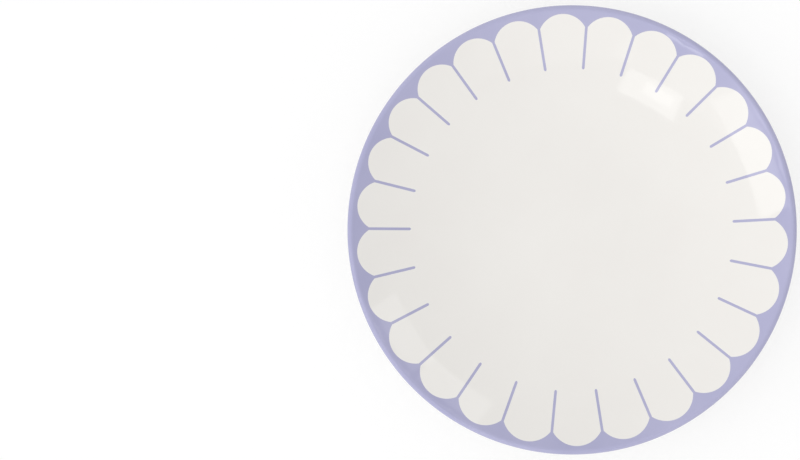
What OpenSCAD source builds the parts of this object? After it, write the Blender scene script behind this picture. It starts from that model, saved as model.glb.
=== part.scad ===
// Round coupe dessert plate of glazed ceramic, with a painted border of petals.
// The origin is on the table under the middle of the plate, and +Z points up.

/* [Plate] */
// Diameter over the lip
plate_d = 200; // [160:1:250]
// Thickness of the glazed wall, the same from the floor to the lip
wall_t = 3.6; // [3:0.1:5]
// Diameter of the flat floor in the middle
floor_d = 40; // [20:1:70]
// Radius of the curve that rises from the floor to the lip
curve_r = 210; // [180:5:400]

/* [Foot ring] */
// Diameter of the foot ring at the middle of its standing face
foot_d = 108; // [90:1:130]
// Width of the standing face
foot_w = 2.4; // [1.6:0.1:4]
// Gap between the table and the underside of the floor
floor_lift = 2; // [1.6:0.1:5]
// Chamfer along both edges of the standing face
foot_chamfer = 0.6; // [0.3:0.1:1]
// Height of the bare clay on the sides of the foot ring
bare_h = 1.2; // [1.1:0.1:1.5]
// Slope of the sides of the foot ring, in degrees
foot_draft = 10; // [0:1:20]

/* [Glaze] */
// Thickness of every glaze layer
glaze_t = 0.4; // [0.3:0.05:0.6]

/* [Petal border] */
// Number of petals
petal_count = 26; // [18:1:32]
// Distance from the tips of the petals to the edge of the plate
tip_margin = 3.8; // [3:0.1:8]
// Height of the round end of a petal, above the ends of its two lines
petal_rise = 5.7; // [4:0.1:9]
// Length of the lines between the petals
line_l = 18.8; // [8:0.1:25]
// Width of the lines
line_w = 1.2; // [0.6:0.1:2]
// Bearing of the first line, in degrees
line_bearing = 1.7; // [0:0.1:13]
// How far the lines stray from even spacing by hand, once around, in degrees
stray = 1.8; // [0:0.1:2.5]
// Bearing from which that stray runs, in degrees
stray_from = 69; // [0:1:359]
// How far the lines stray by hand, twice around, in degrees
ripple = 0.37; // [0:0.01:0.6]
// Bearing from which that ripple runs, in degrees
ripple_from = 262; // [0:1:359]

/* [Hidden] */
$fn = 180;
// Room by which a cutting shape reaches past what it cuts
past = 2 * wall_t;
// Overlap that lets the round lip and the curved wall cross cleanly
blend = 0.005;

// Section of the wall: two arcs about one centre, closed by a round lip
plate_r = plate_d / 2;
floor_r = floor_d / 2;
lip_r = wall_t / 2;
curve_at = [floor_r, floor_lift + wall_t + curve_r];
mid_curve_r = curve_r + lip_r;
outer_curve_r = curve_r + wall_t;
lip_angle = asin((plate_r - lip_r - floor_r) / mid_curve_r);
lip_at = curve_at + mid_curve_r * [sin(lip_angle), -cos(lip_angle)];
plate_h = lip_at.y + lip_r;
// Reach of the straight cuts through the centre of the curve
cut_l = 2 * outer_curve_r;

// Section of the foot ring, rooted in the middle of the wall
foot_r = foot_d / 2;
foot_root_h = curve_at.y - sqrt(mid_curve_r ^ 2 - (foot_r - floor_r) ^ 2);

// Plan of the border
tip_r = plate_r - tip_margin;
line_out_r = tip_r - petal_rise;
line_in_r = line_out_r - line_l;

// Bearing of line number i
function line_angle(i) = line_bearing + even_angle(i) + stray * sin(even_angle(i) + stray_from)
    + ripple * sin(2 * even_angle(i) + ripple_from);
function even_angle(i) = i * 360 / petal_count;

// Half width of the clay foot ring at height z
function foot_half(z) = foot_w / 2 + foot_chamfer + (z - foot_chamfer) * tan(foot_draft);

// The floor, the rising wall and the lip, drawn in by inset on every side
module wall_section(inset) {
    translate([0, floor_lift + inset])
        square([floor_r, wall_t - 2 * inset]);
    intersection() {
        translate(curve_at)
            difference() {
                circle(outer_curve_r - inset);
                circle(curve_r + inset);
            }
        polygon([
            curve_at,
            curve_at - [0, cut_l],
            curve_at + cut_l * [sin(lip_angle), -cos(lip_angle)]
        ]);
    }
    translate(lip_at)
        circle(lip_r - inset + blend);
}

// The foot ring between two heights, with its sides moved out by grow
module foot_section(low, high, grow) {
    translate([foot_r, 0])
        polygon([
            [foot_half(low) + grow, low],
            [foot_half(high) + grow, high],
            [-foot_half(high) - grow, high],
            [-foot_half(low) - grow, low]
        ]);
}

// The clay under the glaze, with the chamfered standing face of the foot
module clay_section() {
    wall_section(glaze_t);
    foot_section(foot_chamfer, foot_root_h, 0);
    translate([foot_r, 0])
        polygon([
            [foot_w / 2, 0],
            [foot_half(foot_chamfer), foot_chamfer],
            [-foot_half(foot_chamfer), foot_chamfer],
            [-foot_w / 2, 0]
        ]);
}

// All the glaze, from the floor over the lip and down to the bare foot
module glaze_section() {
    difference() {
        union() {
            wall_section(0);
            foot_section(bare_h, foot_root_h, glaze_t);
        }
        clay_section();
    }
}

// The upper side of the plate: above the middle of the wall, and the whole lip
module upper_side() {
    translate([0, floor_lift + lip_r])
        square([floor_r, plate_h]);
    intersection() {
        translate(curve_at)
            circle(mid_curve_r);
        translate([floor_r, 0])
            square([plate_r, plate_h + past]);
    }
    polygon([
        lip_at,
        lip_at + past * [sin(lip_angle), -cos(lip_angle)],
        lip_at + past * [cos(lip_angle), sin(lip_angle)],
        lip_at + past * [-sin(lip_angle), cos(lip_angle)]
    ]);
}

module upper_glaze() {
    rotate_extrude()
        intersection() {
            glaze_section();
            upper_side();
        }
}

// The lower glaze between two distances from the axis
module lower_glaze(from_r, to_r) {
    rotate_extrude()
        intersection() {
            difference() {
                glaze_section();
                upper_side();
            }
            translate([from_r, 0])
                square([to_r - from_r, plate_h]);
        }
}

// Plan of one petal's round end, an arc through its tip and the ends of its lines
module petal_end(i) {
    half = (line_angle(i + 1) - line_angle(i)) / 2;
    corner_x = line_out_r * cos(half) + line_w / 2 * sin(half);
    corner_y = line_out_r * sin(half) - line_w / 2 * cos(half);
    rise = tip_r - corner_x;
    end_r = (corner_y ^ 2 + rise ^ 2) / (2 * rise);
    rotate(line_angle(i) + half)
        translate([tip_r - end_r, 0])
            circle(end_r);
}

// Plan of one line, which tapers at its inner end and runs into the band
module line(i) {
    rotate(line_angle(i))
        polygon([
            [line_in_r, line_w / 4],
            [line_in_r, -line_w / 4],
            [line_in_r + line_w / 2, -line_w / 2],
            [line_out_r + line_w / 2, -line_w / 2],
            [line_out_r + line_w / 2, line_w / 2],
            [line_in_r + line_w / 2, line_w / 2]
        ]);
}

// Everything that is coloured, as an upright prism
module border_prism() {
    linear_extrude(plate_h + past) {
        difference() {
            circle(plate_r + past);
            circle(line_out_r - line_w / 4);
            for (i = [0 : petal_count - 1]) petal_end(i);
        }
        for (i = [0 : petal_count - 1]) line(i);
    }
}

// Fired clay with its foot ring, bare only where it stands
module clay_body() {
    color("#d9d0c1")
        rotate_extrude()
            clay_section();
}

// White glaze of the eating face, with pockets for the colour
module face_glaze() {
    color("#efedea")
        difference() {
            upper_glaze();
            border_prism();
        }
}

// Coloured glaze: the band over the lip, its petal edge and the lines
module petal_border() {
    color("#b1b1cf")
        intersection() {
            upper_glaze();
            border_prism();
        }
}

// White glaze of the underside, from the lip to the outside of the foot
module back_glaze() {
    color("#ebe8e4")
        lower_glaze(foot_r, plate_r + past);
}

// White glaze inside the foot ring
module foot_well_glaze() {
    color("#e6e3de")
        lower_glaze(0, foot_r);
}

clay_body();
face_glaze();
petal_border();
back_glaze();
foot_well_glaze();
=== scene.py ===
import math

import bpy
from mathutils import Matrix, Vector


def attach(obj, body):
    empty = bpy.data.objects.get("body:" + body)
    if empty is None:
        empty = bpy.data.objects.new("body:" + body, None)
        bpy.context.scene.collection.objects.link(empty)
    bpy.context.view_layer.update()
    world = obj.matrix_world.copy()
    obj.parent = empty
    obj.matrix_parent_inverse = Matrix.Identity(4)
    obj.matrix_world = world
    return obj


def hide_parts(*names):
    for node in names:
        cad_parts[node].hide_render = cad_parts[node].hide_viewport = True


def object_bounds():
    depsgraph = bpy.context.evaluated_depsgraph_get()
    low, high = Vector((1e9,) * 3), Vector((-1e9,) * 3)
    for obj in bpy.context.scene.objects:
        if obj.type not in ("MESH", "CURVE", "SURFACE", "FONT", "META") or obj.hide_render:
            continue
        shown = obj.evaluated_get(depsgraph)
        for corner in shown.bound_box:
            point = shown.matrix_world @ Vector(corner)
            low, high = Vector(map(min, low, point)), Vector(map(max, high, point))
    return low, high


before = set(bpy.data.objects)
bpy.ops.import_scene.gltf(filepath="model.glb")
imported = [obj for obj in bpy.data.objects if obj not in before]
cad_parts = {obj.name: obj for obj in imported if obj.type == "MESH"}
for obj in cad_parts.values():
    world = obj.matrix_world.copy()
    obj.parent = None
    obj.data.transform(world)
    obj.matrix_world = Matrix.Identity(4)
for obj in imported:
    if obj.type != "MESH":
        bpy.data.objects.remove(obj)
cad_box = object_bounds()

# Clay body: a pressed and biscuit fired dish with its foot ring in one piece.
# It is pale fired clay, buried under glaze, and bare only where the foot stands.
# The section is an even wall bent along one arc and closed by a half round lip.
MM = 0.001
GLAZE = 0.4 * MM
WALL = 3.6 * MM
FLOOR_R = 20 * MM
FLOOR_LIFT = 2 * MM
CURVE_R = 210 * MM
FOOT_R = 54 * MM
FOOT_W = 2.4 * MM
FOOT_ROUND = 0.6 * MM
FOOT_DRAFT = math.radians(10)
FOOT_FILLET = 2.4 * MM
ROUND_COLUMNS = 288
FACE_STEPS = 24
LIP_STEPS = 16
BACK_STEPS = 16
FILLET_STEPS = 10
FOOT_EDGE_STEPS = 5
FOOT_WELL_STEPS = 8
CRISP_ANGLE = math.radians(35)
plate_r = (cad_box[1].x - cad_box[0].x) / 2
lip_r = WALL / 2
under_r = CURVE_R + WALL
curve_at = Vector((FLOOR_R, FLOOR_LIFT + under_r))
lip_angle = math.asin((plate_r - lip_r - FLOOR_R) / (CURVE_R + lip_r))
lip_at = curve_at + (CURVE_R + lip_r) * Vector((math.sin(lip_angle), -math.cos(lip_angle)))


def arc(centre, radius, start, end, steps):
    """Points on a circle between two bearings, counted from straight down towards the rim."""
    bearings = [start + (end - start) * i / steps for i in range(steps + 1)]
    return [centre + radius * Vector((math.sin(a), -math.cos(a))) for a in bearings]


def side_line(side, depth, height):
    """A point on the outer (1) or inner (-1) side of the foot ring, at a depth under the glaze."""
    half = FOOT_W / 2 + FOOT_ROUND + GLAZE - depth
    return Vector((FOOT_R + side * (half + (height - FOOT_ROUND) * math.tan(FOOT_DRAFT)), height))


def foot_fillet(side, depth):
    """The hollow between the wall and one side of the foot ring, from the wall down.

    Also gives the bearing, about the centre of the curve, at which it leaves the wall.
    Its own centre is one radius off the foot's side and off the wall, which gives a quadratic.
    """
    radius = FOOT_FILLET + depth
    start = side_line(side, depth, 0).x + side * radius / math.cos(FOOT_DRAFT) - curve_at.x
    slope = side * math.tan(FOOT_DRAFT)
    square = slope ** 2 + 1
    mixed = slope * start - curve_at.y
    rest = start ** 2 + curve_at.y ** 2 - (under_r + FOOT_FILLET) ** 2
    height = (-mixed - math.sqrt(mixed ** 2 - square * rest)) / square
    centre = Vector((curve_at.x + start + slope * height, height))
    up = curve_at - centre
    along = Vector((-side * math.cos(FOOT_DRAFT), math.sin(FOOT_DRAFT)))
    first, last = (math.atan2(v.x, -v.y) % math.tau for v in (up, along))
    return arc(centre, radius, first, last, FILLET_STEPS), math.atan2(-up.x, up.y)


def add_mesh(name, verts, faces):
    """Puts a mesh in the scene, with round shading that stays crisp at its sharp edges."""
    mesh = bpy.data.meshes.new(name)
    mesh.from_pydata(verts, [], faces)
    mesh.shade_smooth()
    mesh.set_sharp_from_angle(angle=CRISP_ANGLE)
    made = bpy.data.objects.new(name, mesh)
    bpy.context.collection.objects.link(made)
    return made


def turn(name, section):
    """A solid turned about the Z axis from a closed section, given clockwise in r and z."""
    verts = []
    rings = []
    for point in section:
        count = 1 if point.x == 0 else ROUND_COLUMNS
        rings.append([len(verts) + i % count for i in range(ROUND_COLUMNS)])
        for i in range(count):
            a = math.tau * i / ROUND_COLUMNS
            verts.append((point.x * math.cos(a), point.x * math.sin(a), point.y))
    faces = []
    for here, there in zip(rings, rings[1:] + rings[:1]):
        for i in range(ROUND_COLUMNS):
            j = (i + 1) % ROUND_COLUMNS
            corners = dict.fromkeys((here[i], there[i], there[j], here[j]))
            if len(corners) > 2:
                faces.append(list(corners))
    return add_mesh(name, verts, faces)


outer_fillet, outer_bearing = foot_fillet(1, GLAZE)
inner_fillet, inner_bearing = foot_fillet(-1, GLAZE)
foot_edges = []
for side in (1, -1):
    corner = side_line(side, GLAZE, FOOT_ROUND) - Vector((side * FOOT_ROUND, 0))
    foot_edges.append(arc(corner, FOOT_ROUND, side * math.pi / 2, 0, FOOT_EDGE_STEPS))
clay_outside = arc(curve_at, under_r - GLAZE, lip_angle, outer_bearing, BACK_STEPS) + outer_fillet[1:]
clay_inside = inner_fillet[::-1] + arc(curve_at, under_r - GLAZE, inner_bearing, 0, FOOT_WELL_STEPS)[1:]
clay_body = turn(
    "fired_clay_body",
    [Vector((0, FLOOR_LIFT + WALL - GLAZE))]
    + arc(curve_at, CURVE_R + GLAZE, 0, lip_angle, FACE_STEPS)
    + arc(lip_at, lip_r - GLAZE, lip_angle + math.pi, lip_angle, LIP_STEPS)[1:-1]
    + clay_outside
    + foot_edges[0]
    + foot_edges[1][::-1]
    + clay_inside
    + [Vector((0, FLOOR_LIFT + GLAZE))],
)


def linear(hex_colour):
    """A colour written as sRGB hex, in linear light."""
    parts = [int(hex_colour[i : i + 2], 16) / 255 for i in (1, 3, 5)]
    return [p / 12.92 if p <= 0.04045 else ((p + 0.055) / 1.055) ** 2.4 for p in parts] + [1]


def add_node(tree, kind, values=(), links=(), **settings):
    """Adds a node with its settings, socket values and incoming links."""
    made = tree.nodes.new(kind)
    for name, value in settings.items():
        setattr(made, name, value)
    for name, value in dict(values).items():
        made.inputs[name].default_value = value
    for name, source in dict(links).items():
        tree.links.new(source, made.inputs[name])
    return made


# Biscuit fired clay: fine grit and no gloss, rubbed a little greyer where it stands.
GRIT = 0.5 * MM
GRIT_DEPTH = 0.05 * MM
RUB = 6 * MM
clay = bpy.data.materials.new("biscuit_fired_clay")
clay.use_nodes = True
tree = clay.node_tree
tree.nodes.clear()
spot = add_node(tree, "ShaderNodeTexCoord").outputs["Object"]
grit = add_node(tree, "ShaderNodeTexNoise", {"Scale": 1 / GRIT, "Detail": 4}, {"Vector": spot})
rub = add_node(tree, "ShaderNodeTexNoise", {"Scale": 1 / RUB, "Detail": 3}, {"Vector": spot})
tone = add_node(
    tree, "ShaderNodeMixRGB", {"Color1": linear("#E2DACC"), "Color2": linear("#CDC3B3")},
    {"Fac": grit.outputs["Fac"]})
worn = add_node(
    tree, "ShaderNodeMixRGB", {"Color2": linear("#BFB8AD")},
    {"Fac": rub.outputs["Fac"], "Color1": tone.outputs["Color"]})
bump = add_node(
    tree, "ShaderNodeBump", {"Strength": 0.5, "Distance": GRIT_DEPTH}, {"Height": grit.outputs["Fac"]})
shader = add_node(
    tree, "ShaderNodeBsdfPrincipled", {"Roughness": 0.75},
    {"Base Color": worn.outputs["Color"], "Normal": bump.outputs["Normal"]})
add_node(tree, "ShaderNodeOutputMaterial", links={"Surface": shader.outputs["BSDF"]})
clay_body.data.materials.append(clay)
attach(clay_body, "root")
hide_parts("clay_body")

# Foot well glaze: the white glaze inside the foot ring, poured on and fired.
# It lies on the underside of the floor and stops short of the standing face,
# where it is wiped off so that the plate doesn't stick to the kiln shelf.
BARE_H = 1.2 * MM
WIPED_STEPS = 6


def wiped_edge(side):
    """The rounded end of the glaze on one side of the foot, from its face to the clay."""
    corner = side_line(side, GLAZE, BARE_H + GLAZE)
    return arc(corner, GLAZE, side * math.pi / 2, 0, WIPED_STEPS) + [side_line(side, GLAZE, BARE_H)]


well_fillet, well_bearing = foot_fillet(-1, 0)
foot_well_glaze = turn(
    "white_foot_well_glaze",
    [Vector((0, FLOOR_LIFT + GLAZE))]
    + clay_inside[::-1]
    + wiped_edge(-1)[::-1]
    + well_fillet[::-1]
    + arc(curve_at, under_r, well_bearing, 0, FOOT_WELL_STEPS)[1:]
    + [Vector((0, FLOOR_LIFT))],
)


def gloss_glaze(name, thin, thick, shade_side=(0, 0, 0)):
    """A fired gloss glaze: a glassy coat whose colour clouds a little with its thickness.

    It dried in slow waves and melted to a gloss, so highlights have clear, faintly uneven edges.
    The last argument points to the side where the colour is painted deeper as painted shade; zero paints
    none.
    """
    cloud_size = 28 * MM
    wave_size = 11 * MM
    wave_depth = 0.1 * MM
    haze_size = 16 * MM
    made = bpy.data.materials.new(name)
    made.use_nodes = True
    tree = made.node_tree
    tree.nodes.clear()
    spot = add_node(tree, "ShaderNodeTexCoord").outputs["Object"]
    cloud = add_node(
        tree, "ShaderNodeTexNoise", {"Scale": 1 / cloud_size, "Detail": 5}, {"Vector": spot})
    wave = add_node(
        tree, "ShaderNodeTexNoise", {"Scale": 1 / wave_size, "Detail": 1}, {"Vector": spot})
    haze = add_node(
        tree, "ShaderNodeTexNoise", {"Scale": 1 / haze_size, "Detail": 2}, {"Vector": spot})
    # Painted shade: the colour deepens towards the side that the last argument points to, on that half
    # only, on top of the clouding.
    shade_lean = add_node(tree, "ShaderNodeVectorMath", {1: shade_side}, {0: spot}, operation="DOT_PRODUCT")
    painted_shade = add_node(tree, "ShaderNodeMath", {1: 0}, {0: shade_lean.outputs["Value"]}, operation="MAXIMUM")
    depth = add_node(
        tree, "ShaderNodeMath", links={0: cloud.outputs["Fac"], 1: painted_shade.outputs[0]}, operation="ADD")
    colour = add_node(
        tree, "ShaderNodeMixRGB", {"Color1": linear(thin), "Color2": linear(thick)},
        {"Fac": depth.outputs[0]})
    gloss = add_node(
        tree, "ShaderNodeMapRange", {"To Min": 0.02, "To Max": 0.06}, {"Value": haze.outputs["Fac"]})
    bump = add_node(
        tree, "ShaderNodeBump", {"Strength": 0.1, "Distance": wave_depth}, {"Height": wave.outputs["Fac"]})
    shader = add_node(
        tree, "ShaderNodeBsdfPrincipled", {"IOR": 1.5},
        {"Base Color": colour.outputs["Color"], "Roughness": gloss.outputs["Result"],
         "Normal": bump.outputs["Normal"]})
    add_node(tree, "ShaderNodeOutputMaterial", links={"Surface": shader.outputs["BSDF"]})
    return made


white_glaze = gloss_glaze("gloss_white_glaze", "#F1EFEB", "#EDEAE6")
foot_well_glaze.data.materials.append(white_glaze)
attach(foot_well_glaze, "root")
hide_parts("foot_well_glaze")

# Back glaze: the same white glaze on the underside, outside the foot ring.
# It runs from the lip, where the border's colour ends, down to the wiped foot,
# and it pools to a soft hollow where the foot leaves the wall.
back_fillet, back_bearing = foot_fillet(1, 0)
back_glaze = turn(
    "white_back_glaze",
    clay_outside[::-1]
    + arc(curve_at, under_r, lip_angle, back_bearing, BACK_STEPS)
    + back_fillet[1:]
    + wiped_edge(1),
)
back_glaze.data.materials.append(white_glaze)
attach(back_glaze, "root")
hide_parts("back_glaze")

# Face glaze: the white glaze of the eating face, fused to the top of the clay.
# It fills the well and the petals, and leaves pockets where the colour lies.
# One grid covers the whole face; its columns follow the petals and the lines between them.
PETALS = 26
TIP_MARGIN = 3.8 * MM
PETAL_RISE = 5.7 * MM
LINE_L = 18.8 * MM
LINE_W = 1.2 * MM
LINE_BEARING = math.radians(1.7)
STRAY = math.radians(1.8)
STRAY_FROM = math.radians(69)
RIPPLE = math.radians(0.37)
RIPPLE_FROM = math.radians(262)
PETAL_CELLS = 20
LINE_CELLS = 4
WELL_ROWS = 18
PETAL_ROWS = 12
BAND_ROWS = 5
LIP_ROWS = 18
tip_r = plate_r - TIP_MARGIN
line_out_r = tip_r - PETAL_RISE
line_in_r = line_out_r - LINE_L
lip_start = FLOOR_R + CURVE_R * math.sin(lip_angle)
lip_end = lip_start + math.pi * lip_r


def line_bearing(i):
    """Bearing of line number i, strayed from even spacing as a hand sets it."""
    even = math.tau * i / PETALS
    stray = STRAY * math.sin(even + STRAY_FROM) + RIPPLE * math.sin(2 * even + RIPPLE_FROM)
    return LINE_BEARING + even + stray


def line_edge(i, across, reach):
    """Bearing at a reach from the axis, across line i from one edge (-1) to the other (1)."""
    return line_bearing(i) + math.asin(across * LINE_W / 2 / reach)


def line_column(i, across):
    """A column along line i: its round inner end, its outer end and its bearing on the way."""
    inner = line_in_r + LINE_W / 2 * (1 - math.sqrt(1 - across ** 2))
    return inner, line_out_r, lambda reach: line_edge(i, across, reach)


def petal_column(i, share):
    """A column along petal i, which ends on the round end of the petal."""
    half = (line_bearing(i + 1) - line_bearing(i)) / 2
    middle = line_bearing(i) + half
    corner_x = line_out_r * math.cos(half) + LINE_W / 2 * math.sin(half)
    corner_y = line_out_r * math.sin(half) - LINE_W / 2 * math.cos(half)
    rise = tip_r - corner_x
    end_r = (corner_y ** 2 + rise ** 2) / (2 * rise)
    spread = math.atan2(corner_y, corner_x - (tip_r - end_r))
    x = tip_r - end_r + end_r * math.cos(spread * (2 * share - 1))
    y = end_r * math.sin(spread * (2 * share - 1))
    outer = math.hypot(x, y)
    low, high = line_edge(i, 1, outer), line_edge(i + 1, -1, outer)
    part = (middle + math.atan2(y, x) - low) / (high - low)
    return line_in_r, outer, lambda reach: (
        line_edge(i, 1, reach) * (1 - part) + line_edge(i + 1, -1, reach) * part)


def column_spots(inner, outer, bearing):
    """Distance along the section and bearing of every row of a column, from floor to lip."""
    stops = (FLOOR_R, inner, outer, lip_start, lip_end)
    spots = []
    for low, high, rows in zip(stops, stops[1:], (WELL_ROWS, PETAL_ROWS, BAND_ROWS, LIP_ROWS)):
        for k in range(rows):
            reach = low + (high - low) * k / rows
            spots.append((reach, bearing(min(max(reach, inner), outer))))
    return spots + [(lip_end, bearing(outer))]


face_columns = []
for i in range(PETALS):
    for j in range(LINE_CELLS + 1):
        face_columns.append(column_spots(*line_column(i, 2 * j / LINE_CELLS - 1)))
    for j in range(1, PETAL_CELLS):
        face_columns.append(column_spots(*petal_column(i, j / PETAL_CELLS)))


def face_point(reach, bearing, depth):
    """A point of the face at a distance along its section, or the same point under the glaze."""
    if reach <= lip_start:
        tilt = -math.asin((reach - FLOOR_R) / CURVE_R)
        point = curve_at + CURVE_R * Vector((-math.sin(tilt), -math.cos(tilt)))
    else:
        tilt = (reach - lip_start) / lip_r - lip_angle
        point = lip_at + lip_r * Vector((math.sin(tilt), math.cos(tilt)))
    point = point - depth * Vector((math.sin(tilt), math.cos(tilt)))
    return point.x * math.cos(bearing), point.x * math.sin(bearing), point.y


def glaze_layer(name, cells):
    """A closed layer of glaze from cells of the face: its face, its bed on the clay and its edges."""
    index = {}
    for cell in cells:
        for corner in cell:
            index.setdefault(corner, len(index))
    below = len(index)
    verts = [face_point(*face_columns[c][k], depth) for depth in (0, GLAZE) for c, k in index]
    faces = [[index[corner] for corner in cell] for cell in cells]
    edges = {edge for face in faces for edge in zip(face, face[1:] + face[:1])}
    beds = [[v + below for v in reversed(face)] for face in faces]
    walls = [[a, a + below, b + below, b] for a, b in edges if (b, a) not in edges]
    return add_mesh(name, verts, faces + beds + sorted(walls))


# The flat floor of the well is one face, inside the first row of every column
white_cells = [tuple((c, 0) for c in range(len(face_columns)))]
border_cells = []
for c in range(len(face_columns)):
    on_line = c % (LINE_CELLS + PETAL_CELLS) < LINE_CELLS
    for k in range(len(face_columns[c]) - 1):
        d = (c + 1) % len(face_columns)
        cell = ((c, k), (c, k + 1), (d, k + 1), (d, k))
        white = k < WELL_ROWS or k < WELL_ROWS + PETAL_ROWS and not on_line
        (white_cells if white else border_cells).append(cell)
face_glaze = glaze_layer("white_face_glaze", white_cells)
face_glaze.data.materials.append(white_glaze)
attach(face_glaze, "root")
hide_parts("face_glaze")

# Petal border: the lavender glaze, laid into the white and fired with it.
# It is the band with its petal edge, the lines between the petals and the wrap
# over the lip, all in one gloss coat, with painted shade that deepens it towards the left.
# Painted shade: the lavender is painted deeper towards the left of the plate, a little down.
BORDER_PAINTED_SHADE = Vector((-0.31, -0.13, 0)) / plate_r
border = glaze_layer("lavender_petal_border", border_cells)
lavender_glaze = gloss_glaze("gloss_lavender_glaze", "#BAB9D7", "#A8A8CA", BORDER_PAINTED_SHADE)
border.data.materials.append(lavender_glaze)
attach(border, "root")
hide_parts("petal_border")

# Table: a wide plain white floor of matt paper under the foot ring.
# The camera and the gloss see it lifted most of the way to pure white,
# and what is left of its own shade keeps the plate's soft shadow.
TABLE_HALF = 12
TABLE_LIFT = 0.65
TABLE_GLOW = 1.07


def seen_directly(tree):
    """One for rays from the camera, off gloss or through glass, and nothing for rays that carry light."""
    path = add_node(tree, "ShaderNodeLightPath")
    seen = path.outputs["Is Camera Ray"]
    for ray in ("Is Glossy Ray", "Is Transmission Ray"):
        seen = add_node(
            tree, "ShaderNodeMath", links={0: seen, 1: path.outputs[ray]}, operation="MAXIMUM").outputs[0]
    return seen


table_corners = [(-1, -1), (1, -1), (1, 1), (-1, 1)]
table = add_mesh(
    "table", [(x * TABLE_HALF, y * TABLE_HALF, 0) for x, y in table_corners], [(0, 1, 2, 3)])
paper = bpy.data.materials.new("white_paper_sweep")
paper.use_nodes = True
tree = paper.node_tree
tree.nodes.clear()
lift = add_node(tree, "ShaderNodeMath", {1: TABLE_LIFT}, {0: seen_directly(tree)}, operation="MULTIPLY")
matt = add_node(tree, "ShaderNodeBsdfDiffuse", {"Color": linear("#F3F3F3")})
glow = add_node(tree, "ShaderNodeEmission", {"Color": (1, 1, 1, 1), "Strength": TABLE_GLOW})
sweep = add_node(
    tree, "ShaderNodeMixShader",
    links={0: lift.outputs[0], 1: matt.outputs["BSDF"], 2: glow.outputs["Emission"]})
add_node(tree, "ShaderNodeOutputMaterial", links={"Surface": sweep.outputs["Shader"]})
table.data.materials.append(paper)

# Studio light: a white tent that is brighter on the left, with windows of light in it.
# The tent gives the slow shading of the dish. The upper windows give the highlights
# seen from above, and a ring of low ones gives the gloss seen from the sides.
TENT = 0.857
TENT_BIAS = Vector((-0.445, -0.23, 0))
world = bpy.data.worlds.new("studio_tent")
bpy.context.scene.world = world
world.use_nodes = True
tree = world.node_tree
tree.nodes.clear()
way = add_node(tree, "ShaderNodeTexCoord").outputs["Generated"]
lean = add_node(
    tree, "ShaderNodeVectorMath", {1: TENT_BIAS}, {0: way}, operation="DOT_PRODUCT")
level = add_node(
    tree, "ShaderNodeMath", {1: TENT, 2: TENT}, {0: lean.outputs["Value"]}, operation="MULTIPLY_ADD")
tent = add_node(
    tree, "ShaderNodeBackground", {"Color": (1, 1, 1, 1)}, {"Strength": level.outputs[0]})
plain = add_node(tree, "ShaderNodeBackground", {"Color": (1, 1, 1, 1)})
sky = add_node(
    tree, "ShaderNodeMixShader",
    links={0: seen_directly(tree), 1: tent.outputs[0], 2: plain.outputs[0]})
add_node(tree, "ShaderNodeOutputWorld", links={"Surface": sky.outputs["Shader"]})

# Each window has its angle from straight up and its bearing in degrees, its width and height
# in metres, and its light. Bearings turn from the right of the picture towards its top.
# A glow is the brighter part of the window before it.
WINDOW_FAR = 1.5
SIDE_WINDOWS = 6
SIDE_ZENITH = 59
SIDE_FIRST_BEARING = 15
SIDE_W, SIDE_H = 0.5, 0.36
SIDE_LIGHT = 1
windows = [
    ("small_window", 23.7, 242.2, 0.245, 0.158, 1.55),
    ("small_window_glow", 24.1, 239.6, 0.127, 0.073, 1.1),
    ("wide_window", 32.6, 204, 0.55, 0.19, 0.85),
    ("wide_window_glow", 32.6, 198, 0.373, 0.19, 0.65),
    ("faint_window_1", 34.8, 30.5, 0.322, 0.165, 0.9),
    ("faint_window_2", 34.8, 52.2, 0.322, 0.165, 0.9),
    ("strip_window", 37.5, 240, 0.18, 0.026, 2.6),
    ("soft_window_1", 33, 234, 0.66, 0.34, 0.3),
    ("soft_window_2", 33, 278, 0.66, 0.34, 0.26),
]
for i in range(SIDE_WINDOWS):
    bearing = SIDE_FIRST_BEARING + 360 * i / SIDE_WINDOWS
    windows.append((f"side_window_{i + 1}", SIDE_ZENITH, bearing, SIDE_W, SIDE_H, SIDE_LIGHT))
for name, zenith, bearing, width, height, light in windows:
    lamp = bpy.data.lights.new(name, "AREA")
    lamp.shape = "RECTANGLE"
    lamp.size = width
    lamp.size_y = height
    lamp.energy = light * math.pi * width * height
    window = bpy.data.objects.new(name, lamp)
    down, round_z = math.radians(zenith), math.radians(bearing)
    away = Vector((math.sin(down) * math.cos(round_z), math.sin(down) * math.sin(round_z), math.cos(down)))
    window.location = WINDOW_FAR * away
    window.rotation_mode = "QUATERNION"
    window.rotation_quaternion = away.to_track_quat("Z", "Y")
    window.visible_camera = False
    bpy.context.collection.objects.link(window)

# Camera: straight above the table, with a long lens so that the lip hides no part of the well.
# The photograph is 800 pixels wide and has the plate's middle at pixel 572, 230.
PHOTO_W, PHOTO_H = 800, 460
MIDDLE_X, MIDDLE_Y = 572.13, 229.89
PLATE_R_PIXELS = 224.73
LENS = 400
VIEW_FAR = 100
pixel = plate_r / PLATE_R_PIXELS
camera_data = bpy.data.cameras.new("photo_camera")
camera_data.lens = LENS
camera = bpy.data.objects.new("photo_camera", camera_data)
rim_to_camera = LENS / camera_data.sensor_width * PHOTO_W * pixel
camera.location = (
    (PHOTO_W / 2 - MIDDLE_X) * pixel,
    (MIDDLE_Y - PHOTO_H / 2) * pixel,
    lip_at.y + rim_to_camera,
)
camera_data.clip_end = VIEW_FAR
bpy.context.collection.objects.link(camera)
bpy.context.scene.camera = camera
bpy.context.scene.view_settings.view_transform = "Standard"
